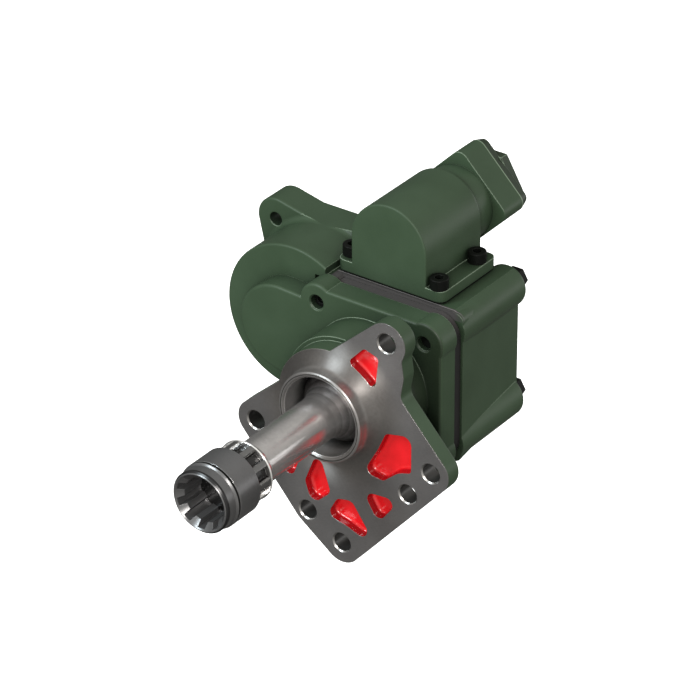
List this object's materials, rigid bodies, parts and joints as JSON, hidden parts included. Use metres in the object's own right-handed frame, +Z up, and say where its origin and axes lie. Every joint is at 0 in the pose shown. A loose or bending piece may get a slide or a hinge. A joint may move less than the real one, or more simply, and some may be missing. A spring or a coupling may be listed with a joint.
{
  "type": "power_take_off",
  "caption": "Rear mounted power take off with a pneumatic shift: splined coupling shaft, mounting flange, spur gears in a cast box and a pump flange.",
  "frame": {"origin": "on the input shaft's axis, in the machined mounting face", "axes": "X right and Z up seen from the gearbox side; Y to the rear along the shafts"},
  "size_m": [0.2324, 0.3448, 0.244],
  "materials": {
    "cast_green": "satin",
    "black_plate": "satin",
    "black_steel": "satin",
    "dark_steel": "satin",
    "steel": "satin",
    "aluminium": "satin",
    "gasket": "matte",
    "seal_rubber": "matte"
  },
  "bodies": {
    "housing": {"mounting_housing": "cast_green", "intermediate_plate": "black_plate", "front_gasket": "gasket", "rear_gasket": "gasket", "gear_housing": "cast_green", "through_bolts": "black_steel", "ear_screw": "black_steel", "dowel_sleeves": "steel", "oil_seal": "seal_rubber", "bearing_circlip": "steel", "bearing_carrier": "steel", "carrier_circlip": "steel", "actuator_body": "cast_green", "actuator_gasket": "gasket", "actuator_screws": "black_steel", "end_cap": "cast_green", "port_insert": "steel", "cap_seal": "seal_rubber", "return_spring": "steel", "front_bearing_outer_race": "steel", "front_bearing_balls": "steel", "rear_bearing_outer_race": "steel", "rear_bearing_balls": "steel", "output_front_bearing_outer_race": "steel", "output_front_bearing_balls": "steel", "output_rear_bearing_outer_race": "steel", "output_rear_bearing_balls": "steel"},
    "input_shaft": {"input_shaft": "dark_steel", "coupling_sleeve": "dark_steel", "sleeve_ring": "black_steel", "thrust_washer": "steel", "gear_circlip": "steel", "front_bearing_inner_race": "steel", "rear_bearing_inner_race": "steel"},
    "input_gear": {"input_gear": "steel", "needle_bearing": "steel"},
    "output_shaft": {"output_shaft": "steel", "output_gear": "steel", "output_key": "steel", "output_front_bearing_inner_race": "steel", "output_rear_bearing_inner_race": "steel"},
    "shift": {"piston": "aluminium", "piston_seal": "seal_rubber", "shift_rod": "steel", "shift_fork": "steel", "fork_pin": "steel"},
    "dog_sleeve": {"dog_sleeve": "steel"}
  },
  "joints": [
    {"name": "input_shaft_spin", "type": "hinge", "parent": "housing", "child": "input_shaft", "pos_m": [0, 0, 0], "axis": [0, 1, 0], "continuous": true},
    {"name": "input_gear_spin", "type": "hinge", "parent": "housing", "child": "input_gear", "pos_m": [0, 0, 0], "axis": [0, 1, 0], "continuous": true},
    {"name": "output_shaft_spin", "type": "hinge", "parent": "housing", "child": "output_shaft", "pos_m": [-0.07725, 0, 0.01558], "axis": [0, 1, 0], "continuous": true},
    {"name": "shift_slide", "type": "slide", "parent": "housing", "child": "shift", "axis": [0, -1, 0], "range_m": [0, 0.006], "stiffness_N_per_m": 1500, "springref_m": -0.006},
    {"name": "dog_sleeve_slide", "type": "slide", "parent": "input_shaft", "child": "dog_sleeve", "axis": [0, -1, 0], "range_m": [0, 0.006]}
  ],
  "couplings": [
    {"joint": "output_shaft_spin", "follows": "input_gear_spin", "ratio": -1.0455},
    {"joint": "dog_sleeve_slide", "follows": "shift_slide", "ratio": 1}
  ]
}
